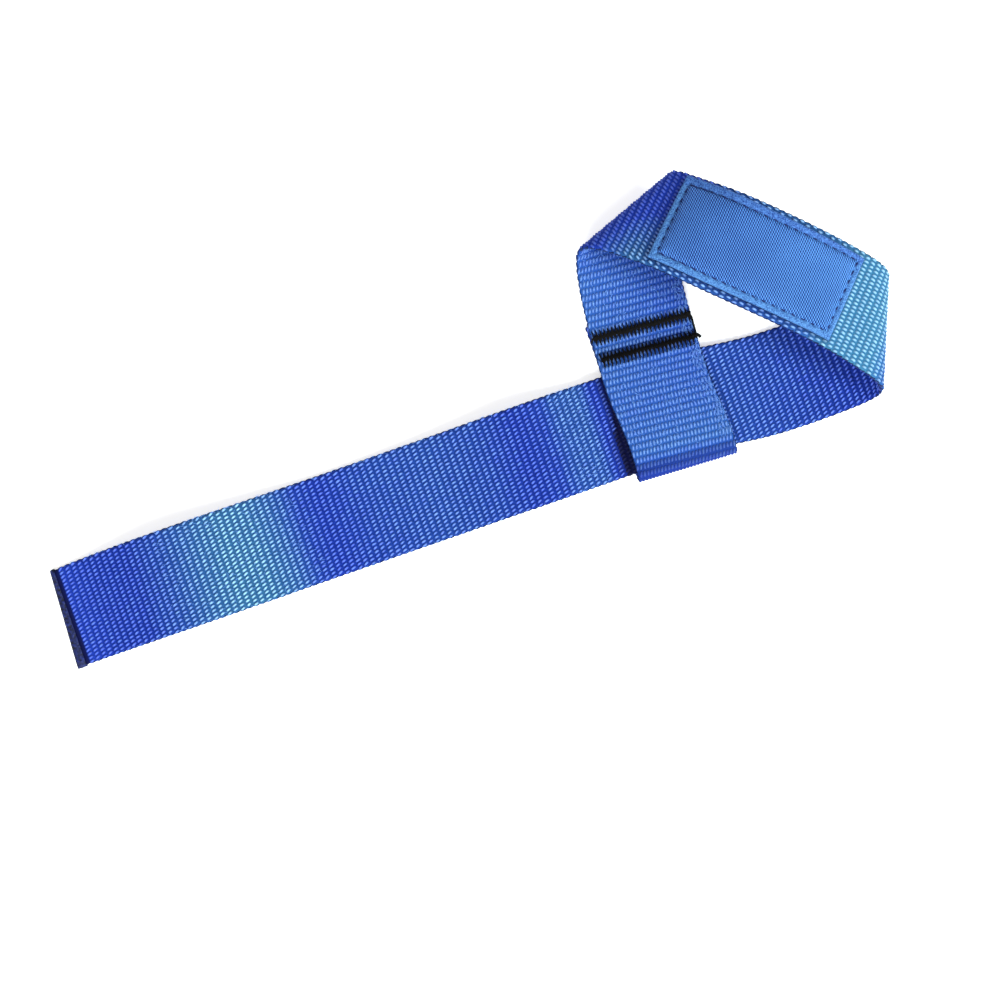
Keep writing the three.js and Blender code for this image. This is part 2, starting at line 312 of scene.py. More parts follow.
def layOut():
    lay = {"bends": [], "drifts": [], "offset": np.zeros(3)}
    tailRun, padRun = strap["tailRun"], strap["padRun"]
    rightAt = tailRun + search["firstLoopRun"] * padRun
    for _ in range(search["rounds"]):
        leftAt = rightAt + padRun
        lay["bends"] = (
            tailBends(tailRun)
            + foldBends(rightAt, strap["rightFoldSkew"], folds["right"], strap["loopHeight"])
            + foldBends(leftAt, strap["leftFoldSkew"], folds["left"], strap["loopHeight"] - layerStep)
        )
        middles = {"keeper": tailRun, "rightFold": rightAt, "leftFold": leftAt}
        lay["drifts"] = [driftAt(name, middle) for name, middle in middles.items()]
        lastRun = [leftAt + share * padRun for share in search["lastRun"]]
        onTail, overAt = crossing(lay, [tailRun - halfWidth / 2, tailRun + halfWidth / 2], lastRun)
        lay["rightAt"] = rightAt
        rightAt += tailRun - onTail
    lay["drifts"].append(driftAt("overTail", overAt))
    lay["tailEdge"] = min(edgePlaces(lay, tailRun, overAt, 1))
    lay["keeperFold"] = max(edgePlaces(lay, tailRun, overAt, -1)) + strap["keeperEase"]
    stepUp, stepSpread = radians(strap["keeperSlope"]), keeperCorner["spread"] * strap["thickness"]
    stepEnd = lay["tailEdge"] - strap["layerGap"] - keeperCorner["setback"] * stepSpread
    stepStart = stepEnd - layerStep / sin(stepUp)
    wrap = (2 * layerStep + strap["bedding"]) / meanClimb(0, pi, strap["keeperFoldEase"])
    lay["bends"] += [
        makeBend(stepStart, 0, stepUp, stepSpread, strap["foldEase"]),
        makeBend(stepEnd, 0, -stepUp, stepSpread, strap["foldEase"]),
        makeBend(lay["keeperFold"], radians(strap["keeperSkew"]), -pi, wrap, strap["keeperFoldEase"]),
    ]
    lay["lowerTack"] = lay["tailEdge"] - strap["tackSetback"]
    lay["upperTack"] = lay["lowerTack"] - strap["tackSpacing"]
    lay["end"] = 2 * lay["keeperFold"] - lay["upperTack"] + strap["lapPastTacks"]
    lay["offset"] = offsetToFrame(lay)
    return lay


def offsetToFrame(lay):  # sets the middle of the strip's box on that of the webbing's solid
    along = np.arange(strap["sealLength"] + search["pastSeal"], lay["end"], search["wallStep"])
    s, t = np.meshgrid(along, [-halfWidth, halfWidth])
    flat = search["flatShare"] * t  # the edges are rounded, so the faces end short of them
    outline = [(t, 0.0), (flat, -halfThickness), (flat, halfThickness)]
    walls = np.vstack([layPoints(lay, s, across, h) for across, h in outline])
    low, high = (np.array(corner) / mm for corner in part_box("webbing"))
    offset = (low + high - walls.min(0) - walls.max(0)) / 2
    offset[2] = low[2] - walls[:, 2].min()
    return offset


lay = layOut()
print("strip laid out:", round(lay["end"], 2), "mm, offset", np.round(lay["offset"], 3))


cutEnd = {"drawnIn": 1.2, "over": 7}  # its left corner is drawn in a little


def strapPoints(s, t, h=0.0):
    share = 0.5 + np.asarray(t) / strap["width"]
    drawn = cutEnd["drawnIn"] * np.exp(-np.asarray(s) / cutEnd["over"]) * share
    return layPoints(lay, s, t - drawn, h)


def unit(rows):
    return rows / np.linalg.norm(rows, axis=1)[:, None]


def strapAxes(s, t, h=0.0):  # square to each other: along the strip, across it and up from its upper face
    reach = 0.2
    along = unit(strapPoints(s + reach, t, h) - strapPoints(s - reach, t, h))
    up = unit(np.cross(along, strapPoints(s, t + reach, h) - strapPoints(s, t - reach, h)))
    return along, np.cross(up, along), up


def strapTurns(s, t, h, slant, face):  # Euler angles of pieces that lie on a face, slanted from the strip
    along, across, up = strapAxes(s, t, h)
    slant = np.broadcast_to(slant, len(along))[:, None]
    ahead = along * np.cos(slant) + across * np.sin(slant)
    return eulers(ahead, up * face)


def eulers(ahead, up):
    side = np.cross(up, ahead)
    x = np.arctan2(side[:, 2], up[:, 2])
    y = np.arcsin(np.clip(-ahead[:, 2], -1, 1))
    z = np.arctan2(ahead[:, 1], ahead[:, 0])
    return np.column_stack([x, y, z])


# Meshes

def meshOf(name, points, faces, material, places=None, edges=()):
    mesh = bpy.data.meshes.new(name)
    mesh.from_pydata((np.asarray(points) * mm).tolist(), edges, faces)
    mesh.validate()
    mesh.polygons.foreach_set("use_smooth", [True] * len(mesh.polygons))
    if places is not None:
        attribute = mesh.attributes.new("lay", "FLOAT_VECTOR", "POINT")
        attribute.data.foreach_set("vector", np.asarray(places, np.float32).ravel())
    mesh.materials.append(material)
    piece = bpy.data.objects.new(name, mesh)
    bpy.context.scene.collection.objects.link(piece)
    return piece


def addNumbers(piece, name, numbers):
    attribute = piece.data.attributes.new(name, "FLOAT", "POINT")
    attribute.data.foreach_set("value", np.asarray(numbers, np.float32).ravel())


def ringFaces(rings, around):  # a closed skin from rings of points, with a flat cap at each end
    i, j = np.meshgrid(np.arange(rings - 1), np.arange(around), indexing="ij")
    here, after = i * around, (i + 1) * around
    nextJ = (j + 1) % around
    quads = np.stack([here + j, after + j, after + nextJ, here + nextJ], -1)
    faces = quads.reshape(-1, 4).tolist()
    faces.append(list(range(around)))
    faces.append([(rings - 1) * around + k for k in reversed(range(around))])
    return faces


def ride(piece, slotName, *nodes):
    if nodes:
        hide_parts(*nodes)
    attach(piece, "root")


# Finishes

webbingColours = {  # first the deep blue, then the pale cyan, which is painted sheen mixed with washed-out dye
    "yarn": {
        "dark": [(0.003, 0.012, 0.16), (0.02, 0.08, 0.2)],
        "light": [(0.085, 0.155, 0.72), (0.31, 0.58, 0.76)],
    },
    "core": {
        "dark": [(0.002, 0.008, 0.11), (0.008, 0.045, 0.14)],
        "light": [(0.009, 0.03, 0.27), (0.03, 0.12, 0.22)],
    },
    "edge": {
        "dark": [(0.001, 0.003, 0.03), (0.002, 0.012, 0.05)],
        "light": [(0.005, 0.016, 0.11), (0.014, 0.07, 0.19)],
    },
}
shadeColour = (0.002, 0.003, 0.03)  # painted shade and melted fibre


def surface(base, bump, roughness, gloss):
    return {"Base Color": base, "Roughness": roughness, "Specular IOR Level": gloss, "Normal": bump}


def paintedWebbingColour(graph, tone, share):
    # pale cyan: painted sheen mixed with washed-out dye; the last blend is painted shade and the melted end's
    # dark
    sheenAndWear = graph.attribute("sheenAndWear")
    dark, light = (
        graph.blendColours(sheenAndWear, colour(*tone[key][0]), colour(*tone[key][1])) for key in ("dark", "light")
    )
    lit = graph.blendColours(share, dark, light)
    return graph.blendColours(graph.attribute("shade"), lit, colour(*shadeColour))


def webbingCoreFinish(graph):
    mottle = graph.noise(900.0)
    bump = graph.bump(mottle, strength=0.5, distance=0.0003)
    # the core's painted sheen and shade follow the yarns', and it is lightened where their painted light is
    # evened
    base = paintedWebbingColour(graph, webbingColours["core"], mottle + graph.attribute("evened"))
    return surface(base, bump, roughness=0.75, gloss=0.05)


yarnLight = {  # how fast the crown's painted highlight falls off into painted shade, the strands, and what evening and shade do to it
    "ends": 1.5, "sides": 1.3, "strands": 2.5, "twist": 0.6,
    "evened": 0.38, "evenedDull": 0.4, "shadeDull": 0.5,
}


def yarnFinish(tone, roughness, gloss):  # strands run along each yarn, and a painted highlight lies on its crown
    def build(graph):
        x, y, _ = graph.parts(graph.attribute("yarnPlace", "Vector"))
        tint = graph.attribute("tint")
        ends = (1 - x * x * yarnLight["ends"]).atLeast(0)
        sides = (1 - y * y * yarnLight["sides"]).atLeast(0)
        strands = graph.wave(y * yarnLight["strands"] + x * yarnLight["twist"] + tint * 7)
        # painted highlight on the crown, falling to painted shade at the yarn's ends and sides
        crown = ends * sides * (tint * 0.3 + 0.85) * (strands * 0.3 + 0.8)
        evened = graph.attribute("evened")
        # evening draws the painted highlight and shade towards one level
        share = crown + (yarnLight["evened"] - crown) * evened
        bump = graph.bump(strands, strength=0.4, distance=0.00012)
        shadeDull = graph.attribute("shade") * yarnLight["shadeDull"]
        dull = evened * yarnLight["evenedDull"] + shadeDull + roughness
        return surface(paintedWebbingColour(graph, tone, share), bump, dull, gloss)
    return build


def threadFinish(dark, light, roughness, gloss):
    def build(graph):
        grain = graph.noise(2600.0)
        bump = graph.bump(grain, strength=0.6, distance=0.00015)
        base = graph.blendColours(grain ** 2, colour(*dark), colour(*light))
        return surface(base, bump, roughness, gloss)
    return build


pad = {  # start is measured from the right fold, lowSide from the strip's middle
    "start": 22.3, "length": 70.3, "width": 33.6, "nearShare": 0.96, "lowSide": -16,
    "full": 2.3, "hem": 1.3, "edge": 0.4, "step": 0.3, "groove": 0.5, "ridge": 0.08,
    "hiddenAlong": 1.2, "hiddenAside": 0.9,
}
padStart = lay["rightAt"] + pad["start"]
padWeave = {"along": 0.76, "aslant": 0.85, "lean": 57}  # pitches in millimetres, degrees between the two
padColours = {  # the panel at its near end and its far end, the border inside and towards its upper edge
    "panelDark": [(0.001, 0.016, 0.11), (0.001, 0.012, 0.1)],
    "panelLight": [(0.08, 0.23, 0.57), (0.068, 0.19, 0.52)],
    "borderDark": [(0.008, 0.04, 0.18), (0.003, 0.02, 0.14)],
    "borderLight": [(0.088, 0.23, 0.5), (0.066, 0.17, 0.45)],
    "upperEdge": (12.5, 14.5),
}


def padFinish(graph):
    s, t, _ = graph.parts(graph.attribute("lay", "Vector"))
    hem = graph.attribute("hem")
    lean = radians(padWeave["lean"])
    wefts = graph.wave(s / padWeave["along"])
    warps = graph.wave((t * sin(lean) - s * cos(lean)) / padWeave["aslant"])
    weave = wefts * 0.55 + warps * 0.45
    mottle = graph.noise(60.0)
    speckle = graph.noise(2200.0)
    towardsFar = (s - padStart) / pad["length"]
    first, last = padColours["upperEdge"]
    towardsEdge = graph.make("ShaderNodeMapRange", {}, {0: t, 1: first, 2: last, 3: 0.0, 4: 1.0})

    def tones(part, share):
        ends = [padColours[part + light] for light in ("Dark", "Light")]
        return [graph.blendColours(share, colour(*near), colour(*far)) for near, far in ends]

    panel = graph.blendColours(weave * 2.2 + mottle * 0.5 - 0.92, *tones("panel", towardsFar))
    border = graph.blendColours(speckle * 2.8 - 0.85, *tones("border", towardsEdge))
    bump = graph.bump(weave + (speckle - weave) * hem, strength=0.9, distance=0.00025)
    return surface(graph.blendColours(hem, panel, border), bump, roughness=0.6, gloss=0.1)


def sealFinish(graph):
    lumps = graph.noise(900.0, detail=4.0)
    base = graph.blendColours(lumps * 3.4 - 1.3, colour(0.0005, 0.001, 0.01), colour(0.01, 0.018, 0.11))
    return surface(base, graph.bump(lumps, strength=0.9, distance=0.0005), roughness=0.5, gloss=0.2)


threadLooks = {
    "stitch": {
        "dark": (0.002, 0.006, 0.05), "light": (0.012, 0.03, 0.17), "roughness": 0.6, "gloss": 0.2,
    },
    "tack": {
        "dark": (0.0003, 0.0003, 0.0005), "light": (0.008, 0.006, 0.005), "roughness": 0.75, "gloss": 0.08,
    },
    "fibre": {
        "dark": (0.06, 0.17, 0.55), "light": (0.3, 0.5, 0.85), "roughness": 0.7, "gloss": 0.1,
    },
}
finishes = {
    "core": finish("webbing core", webbingCoreFinish),
    "yarn": finish("webbing yarn", yarnFinish(webbingColours["yarn"], roughness=0.4, gloss=0.2)),
    "edge": finish("selvedge yarn", yarnFinish(webbingColours["edge"], roughness=0.55, gloss=0.12)),
    "pad": finish("pad cover", padFinish),
    "stitch": finish("pad stitch thread", threadFinish(**threadLooks["stitch"])),
    "tack": finish("tack thread", threadFinish(**threadLooks["tack"])),
    "fibre": finish("worn fibre", threadFinish(**threadLooks["fibre"])),
    "seal": finish("sealed webbing", sealFinish),
}
print("finishes made")


# Yarns, stitches and tack threads: one shape set on many points

def geometryTree(name, inputs, output):  # a tree with its named inputs, ready for its nodes
    tree = bpy.data.node_groups.new(name, "GeometryNodeTree")
    for key, kind in inputs.items():
        tree.interface.new_socket(key, in_out="INPUT", socket_type="NodeSocket" + kind)
    tree.interface.new_socket(output, in_out="OUTPUT", socket_type="NodeSocketGeometry")
    graph = Graph(tree)
    return graph, graph.make("NodeGroupInput", {}, {}, out=tuple(inputs))


def closeTree(graph, made, material):
    made = graph.make("GeometryNodeSetShadeSmooth", {}, {"Geometry": made})
    made = graph.make("GeometryNodeRealizeInstances", {}, {"Geometry": made})
    made = graph.make("GeometryNodeSetMaterial", {}, {"Geometry": made, "Material": material})
    graph.make("NodeGroupOutput", {}, {0: made})
    return graph.tree


def storeNamed(graph, geometry, name, value, kind):
    settings = {"data_type": kind, "domain": "POINT"}
    values = {"Geometry": geometry, "Name": name, "Value": value}
    return graph.make("GeometryNodeStoreNamedAttribute", settings, values)


def namedVector(graph, name):
    settings = {"data_type": "FLOAT_VECTOR"}
    return graph.make("GeometryNodeInputNamedAttribute", settings, {"Name": name}, out="Attribute")


def yarnTree():
    inputs = {
        "Points": "Geometry", "Length": "Float", "Width": "Float", "Height": "Float", "Droop": "Float",
        "Seed": "Int", "Finish": "Material",
    }
    graph, sockets = geometryTree("yarns on points", inputs, "Yarns")
    points, length, width, height, droop, seed, material = sockets
    sphere = {"Segments": 6, "Rings": 4, "Radius": 1.0}
    ball = graph.make("GeometryNodeMeshUVSphere", {}, sphere, out="Mesh")
    ball = graph.make("GeometryNodeTransform", {}, {"Geometry": ball, "Rotation": (0, pi / 2, 0)})
    x, y, z = graph.parts(graph.make("GeometryNodeInputPosition"))
    full = (x * x + 1) ** 0.5  # fuller than an ellipsoid
    place = graph.make("ShaderNodeCombineXYZ", {}, {0: x, 1: y * full, 2: z * full})
    ball = storeNamed(graph, ball, "yarnPlace", place, "FLOAT_VECTOR")
    shaped = graph.make("ShaderNodeCombineXYZ", {}, {
        0: x * length * 0.5, 1: y * full * width * 0.5, 2: z * full * height * 0.5 - droop * x * x})
    yarn = graph.make("GeometryNodeSetPosition", {}, {"Geometry": ball, "Position": shaped})
    between = {"Min": 0.0, "Max": 1.0, "Seed": seed}
    tint = graph.make("FunctionNodeRandomValue", {"data_type": "FLOAT"}, between, out="Value")
    points = storeNamed(graph, points, "tint", tint, "FLOAT")
    rotation = graph.make("FunctionNodeEulerToRotation", {}, {0: namedVector(graph, "turn")})
    copies = graph.make("GeometryNodeInstanceOnPoints", {}, {
        "Points": points, "Instance": yarn, "Rotation": rotation, "Scale": namedVector(graph, "size")})
    return closeTree(graph, copies, material)


yarns = yarnTree()


def applyTree(piece, tree, inputs):  # the tree's result becomes the piece's own plain mesh
    modifier = piece.modifiers.new("made", "NODES")
    modifier.node_group = tree
    for item in tree.interface.items_tree:
        if item.in_out == "INPUT" and item.name in inputs:
            modifier[item.identifier] = inputs[item.name]
    depsgraph = bpy.context.evaluated_depsgraph_get()
    made = bpy.data.meshes.new_from_object(
        piece.evaluated_get(depsgraph), preserve_all_data_layers=True, depsgraph=depsgraph)
    piece.modifiers.remove(modifier)
    piece.data = made
    made.name = piece.name
    print(piece.name, len(made.polygons), "faces")
    return piece


def yarnPoints(name, place, turns, sizes, finishName):
    piece = meshOf(name, strapPoints(*place), [], finishes[finishName])
    for key, rows in (("turn", turns), ("size", sizes)):
        attribute = piece.data.attributes.new(key, "FLOAT_VECTOR", "POINT")
        attribute.data.foreach_set("vector", np.asarray(rows, np.float32).ravel())
    return piece


def growYarns(piece, row, seed):
    lengths = {key.capitalize(): row[key] * mm for key in ("length", "width", "height", "droop")}
    return applyTree(piece, yarns, {**lengths, "Seed": seed, "Finish": piece.data.materials[0]})


def threadTree():
    inputs = {"Path": "Geometry", "Thickness": "Float", "Finish": "Material"}
    graph, (path, thickness, material) = geometryTree("thread along a path", inputs, "Thread")
    curve = graph.make("GeometryNodeMeshToCurve", {}, {0: path})
    circle = {"Resolution": 6, "Radius": thickness * 0.5}
    section = graph.make("GeometryNodeCurvePrimitiveCircle", {}, circle, out="Curve")
    values = {"Curve": curve, "Profile Curve": section, "Fill Caps": True}
    return closeTree(graph, graph.make("GeometryNodeCurveToMesh", {}, values), material)


threads = threadTree()


def threadPiece(name, paths, thickness, material):  # each path is a row of points, in millimetres
    points = np.vstack(paths)
    firsts = np.cumsum([0] + [len(path) for path in paths])
    edges = [(i, i + 1) for a, b in zip(firsts, firsts[1:]) for i in range(a, b - 1)]
    piece = meshOf(name, points, [], material, edges=edges)
    return applyTree(piece, threads, {"Thickness": thickness * mm, "Finish": material})


# Webbing: a ribbed core under floats of warp yarn

webbing = {
    "ribPitch": 2.5, "firstRib": 2.2, "ringsPerRib": 4, "columns": 26, "surface": 0.72, "ribRise": 0.1,
    "edgeFlat": 18, "edgeOut": 18.7, "edgeRound": 0.25, "edgeLevel": 0.6, "scallop": 0.14,
    "underSeal": 0.2, "bareEnd": 0.8,
}
yarn = {
    "pitch": 1.44, "count": 26, "seat": 0.76, "length": 2.4, "width": 0.98, "height": 0.82, "droop": 0.34,
    "finerFrom": 425, "finerPitch": 1.29, "finerCount": 29,
}
yarnUnevenness = {"size": [0.06, 0.06, 0.08], "slant": 4, "sheenAndWear": 0.04}
selvedge = {
    "inset": 0.46, "lean": 14, "length": 2.5, "width": 1.2, "height": 0.64, "droop": 0.22, "uneven": 0.08,
}

# Each row is a place along the strip, then the value there, or at its left edge (t above 0) and its right.
# Sheen and wear below 0 count as none, and take the plain deep blue further across.
# pale cyan painted sheen, where the strip turns to the light, mixed with washed-out dye
sheenAndWearRows = {
    "upper": [
        (0, 0), (30, 0, 0.02), (44, 0.22, 0.3), (56, 0.6, 0.72), (66, 0.9, 1), (76, 0.85, 0.95),
        (86, 0.5, 0.6), (95, 0.08, 0.1), (104, 0), (124, 0.2, 0.15), (146, 0.25), (165, 0.18, 0.15),
        (180, 0), (190, 0.06), (196, 0.35, 0.3), (206, 0.4, 0.3), (211, 0), (258, 0.22),
        (285, 0.1), (305, 0), (330, 0), (440, 0.1, 0.25), (455, 0.15, 0.4), (480, 0.2, 0.4),
        (505, 0.3, 0.35), (520, 0.45, 0.4), (525, 0.2, 0.15), (530, 0), (600, 0.1)],
    "lower": [
        (0, 0.2), (290, 0.2), (310, 0.25), (318, 0.55), (326, 1), (345, 1, 0.95),
        (353, 0.8, 0.45), (370, 0.7, 0.35), (400, 0.35, 0.45), (409, -0.3, 0.6), (420, -0.8, 0.8),
        (427, -0.7, 0.35), (433, 0), (450, 0.1), (600, 0.1)],
}
shadeRows = {  # the same for the melted end's dark, painted shadow under the keeper and painted shade in the folds
    "upper": [
        (0, 1), (3.4, 1), (4, 0), (215.4, 0), (216, 1), (218, 1), (222, 0.3),
        (245, 0.2), (254, 0), (522.8, 0), (525.2, 0.45), (534, 0.45), (540, 0)],
    "lower": [
        (0, 1), (3.4, 1), (4, 0), (308, 0), (314, 0.2), (319, 0), (420, 0),
        (432, 0.05, 0), (440, 0.1), (450, 0)],
}
evenedRows = {  # the same for how far the yarns' painted highlight and shade is evened out, which also dulls them
    "upper": [
        (0, 0.35), (14, 0.1), (30, 0), (430, 0), (445, 0.6), (520, 0.6),
        (525, 0.9), (534, 0.9), (600, 0.5)],
    "lower": [
        (0, 0), (312, 0), (322, 0.5), (350, 0.4), (362, 0), (405, 0),
        (414, 0.6, 0), (424, 0.95, 0.3), (434, 0.95, 0.9), (450, 0.3)],
}
slants = {  # degrees from the strip's direction, by the place along it
    "upper": [(0, 22), (210, 22), (235, 29), (300, 29), (340, 20), (425, -11)],
    "lower": [(0, 15), (290, 10), (315, 2), (395, 3), (410, 22), (418, 26), (440, 26), (460, 15)],
}
keeperShadow = {  # painted shadow: a black wedge on the tail beside the keeper, with a band of painted deep blue shade before it
    "from": 6, "over": 26, "depth": 2.2, "bend": 0.75, "edge": 215.9, "soft": 0.4,
    "band": 2.2, "bandShade": 0.4, "first": 190, "last": 220,
}
gapShade = {"depth": 0.8, "over": 1.3, "upTo": 2}  # along the pad's lower side and far end


def readRows(table, s, t, face):
    share = np.clip(t / strap["width"] + 0.5, 0, 1)
    values = {}
    for key, rows in table.items():
        places, left, right = zip(*((*row, row[-1])[:3] for row in rows))
        values[key] = np.interp(s, places, right) * (1 - share) + np.interp(s, places, left) * share
    return np.where(face > 0, values["upper"], values["lower"])


def paintedKeeperShadow(s, t, face):
    # painted shadow cast by the keeper's edge onto the tail
    share = np.clip((keeperShadow["from"] - t) / keeperShadow["over"], 0, 1)
    into = s - keeperShadow["edge"] + keeperShadow["depth"] * np.sin(pi * keeperShadow["bend"] * share)
    black = np.clip(into / keeperShadow["soft"] + 0.5, 0, 1)
    band = keeperShadow["bandShade"] * np.clip((into + keeperShadow["band"]) / keeperShadow["soft"], 0, 1)
    return np.maximum(black, band) * (face > 0) * (s < keeperShadow["last"]) * (s > keeperShadow["first"])


def hemShade(s, t, face):
    gap = np.maximum(s - padStart - pad["length"], pad["lowSide"] - t)
    near = (face < 0) & (s > padStart) & (t < pad["lowSide"] + pad["width"] - gapShade["upTo"])
    return gapShade["depth"] * np.clip(1 - gap / gapShade["over"], 0, 1) * near


def addPaintedTones(piece, s, t, face, unevenness):
    place = (s, t, np.broadcast_to(face, s.shape))
    # painted shade in the folds and under the keeper, painted shadows of the keeper and the pad's hem, and
    # the melted end's dark
    shades = [readRows(shadeRows, *place), paintedKeeperShadow(*place), hemShade(*place)]
    # painted sheen mixed with washed-out dye
    addNumbers(piece, "sheenAndWear", readRows(sheenAndWearRows, *place) + unevenness)
    addNumbers(piece, "shade", np.maximum.reduce(shades))
    # how far the painted light on the yarns is evened
    addNumbers(piece, "evened", readRows(evenedRows, *place))


def ribPlaces():
    first, last = strap["sealLength"] + webbing["firstRib"], lay["end"] - webbing["bareEnd"]
    return np.arange(first, last, webbing["ribPitch"])


def webbingCore():
    start, end = strap["sealLength"] - webbing["underSeal"], lay["end"]
    rings = int(round((end - start) / webbing["ribPitch"] * webbing["ringsPerRib"])) + 1
    s = np.linspace(start, end, rings)
    flat = np.linspace(-webbing["edgeFlat"], webbing["edgeFlat"], webbing["columns"] + 1)
    edge = np.array([-webbing["edgeRound"], 0, -webbing["edgeRound"]]) + webbing["edgeOut"]
    t = np.concatenate([flat, edge, flat[::-1], -edge])
    top, side = np.ones(len(flat)), np.array([1, 0, -1]) * webbing["edgeLevel"]
    level = np.concatenate([top, side, -top, -side])
    phase = np.cos(2 * pi * (s - ribPlaces()[0]) / webbing["ribPitch"])
    height = (webbing["surface"] + webbing["ribRise"] * phase)[:, None] * level[None, :]
    isEdge = np.abs(t) > webbing["edgeFlat"] + 0.01
    across = t[None, :] + webbing["scallop"] * phase[:, None] * (isEdge * np.sign(t))[None, :]
    along = np.broadcast_to(s[:, None], across.shape)
    points = strapPoints(along, across, height)
    piece = meshOf("webbing_core", points, ringFaces(rings, len(t)), finishes["core"])
    addPaintedTones(piece, along.ravel(), across.ravel(), height.ravel(), 0.0)
    return piece


def floatPlaces(face):  # finer on the lap and the keeper, which are drawn tight
    rows = []
    for i, s in enumerate(ribPlaces()):
        finer = face > 0 and s > yarn["finerFrom"]
        pitch, count = (yarn[key] for key in (("finerPitch", "finerCount") if finer else ("pitch", "count")))
        count -= i % 2
        t = (np.arange(count) - (count - 1) / 2) * pitch
        rows.append(np.column_stack([np.full(count, s), t]))
    return np.vstack(rows)


def floatsOn(name, face, first, last, seed):
    places = floatPlaces(face)
    places = places[(places[:, 0] >= first) & (places[:, 0] < last)]
    if face < 0:
        places = places[~underPad(*places.T)]
    s, t = places.T
    h = face * yarn["seat"]
    table = np.array(slants["upper" if face > 0 else "lower"], float)
    slant = np.radians(np.interp(s, table[:, 0], table[:, 1]))
    rough = np.random.default_rng(seed)
    sizes = 1 + rough.normal(0, 1, (len(s), 3)) * yarnUnevenness["size"]
    if face > 0:
        sizes[s > yarn["finerFrom"], 1] *= yarn["finerPitch"] / yarn["pitch"]
    slant = slant + rough.normal(0, radians(yarnUnevenness["slant"]), len(s))
    turns = strapTurns(s, t, h, slant, face)
    piece = yarnPoints(name, (s, t, h), turns, sizes, "yarn")
    addPaintedTones(piece, s, t, face, rough.normal(0, yarnUnevenness["sheenAndWear"], len(s)))
    return growYarns(piece, yarn, seed)


def selvedgeYarns(seed):
    s = np.repeat(ribPlaces(), 2)
    side = np.tile([1.0, -1.0], len(s) // 2)
    t = side * (halfWidth - selvedge["inset"])
    along, across, up = strapAxes(s, t)
    lean = radians(selvedge["lean"])
    ahead = along * cos(lean) + up * sin(lean)
    rough = np.random.default_rng(seed)
    sizes = 1 + rough.normal(0, selvedge["uneven"], (len(s), 3))
    turns = eulers(ahead, across * side[:, None])
    piece = yarnPoints("selvedge_yarns", (s, t), turns, sizes, "edge")
    addPaintedTones(piece, s, t, 1.0, 0.0)
    return growYarns(piece, selvedge, seed)


fibre = {
    "length": 1.7, "width": 0.09, "height": 0.09, "droop": 0.3,
    "turn": 35, "lift": 0.2, "uneven": (-0.5, 0.4),
}
fibreFields = [  # rubbed up: how many, then from and to along the strip, from and to across it
    (700, 450, 521, -18.4, 18.4), (420, 462, 521, 14.6, 18.7), (260, 434, 450, -18.4, 18.4),
    (260, 40, 98, -18.4, 18.4), (120, 195, 208, -18.4, 18.4), (160, 4, 208, 18.3, 18.9),
    (160, 4, 208, -18.9, -18.3),
]


def wornFibres(seed):
    rough = np.random.default_rng(seed)
    places = [
        np.column_stack([rough.uniform(first, last, count), rough.uniform(near, far, count)])
        for count, first, last, near, far in fibreFields
    ]
    s, t = np.vstack(places).T
    h = np.full(len(s), halfThickness + fibre["lift"])
    turns = strapTurns(s, t, h, rough.normal(0, radians(fibre["turn"]), len(s)), 1)
    sizes = 1 + rough.uniform(*fibre["uneven"], (len(s), 1)) * [1, 0, 0]  # in length alone
    piece = yarnPoints("worn_fibres", (s, t, h), turns, sizes, "fibre")
    return growYarns(piece, fibre, seed)


def underPad(s, t):  # far enough inside the cover's sides for a yarn to be hidden
    along, aside = s - padStart, t - pad["lowSide"]
    inLength = (along > pad["hiddenAlong"]) & (along < pad["length"] - pad["hiddenAlong"])
    return inLength & (aside > pad["hiddenAside"]) & (aside < pad["width"] - pad["hiddenAside"])


core = webbingCore()
half = 0.5 * lay["end"]
yarnPieces = [
    floatsOn("tail_yarns_upper", 1, 0, half, 1),
    floatsOn("loop_yarns_upper", 1, half, lay["end"], 2),
    floatsOn("tail_yarns_lower", -1, 0, half, 3),
    floatsOn("loop_yarns_lower", -1, half, lay["end"], 4),
    selvedgeYarns(5),
    wornFibres(7),
]
ride(core, "webbing", "webbing")
for piece in yarnPieces:
    ride(piece, "webbing")
flatSize = (strap["width"] * mm, lay["end"] * mm)
print("webbing made")


# Wrist pad

stitchLine = {"near": 2.3, "far": 2.6, "lower": 2.6, "upperNear": 2.3, "upperFar": 3.5, "pitch": 3.75}
padForm = {  # how far in millimetres each rise or dip of the cover reaches
    "lip": 0.5, "crown": 1.6, "groove": 0.5, "grooveWave": 0.2, "ridgeAt": 0.9, "ridge": 0.7, "plainRim": 0.6,
    "under": 0.25, "hemBlend": 0.3,
}


def padSides(along, aside):  # distance inside each side of the stitch line, at a place on the pad
    share = along / pad["length"]
    upper = stitchLine["upperNear"] + (stitchLine["upperFar"] - stitchLine["upperNear"]) * share
    return [
        along - stitchLine["near"],
        pad["length"] - stitchLine["far"] - along,
        aside - stitchLine["lower"],
        pad["width"] - upper - aside,
    ]


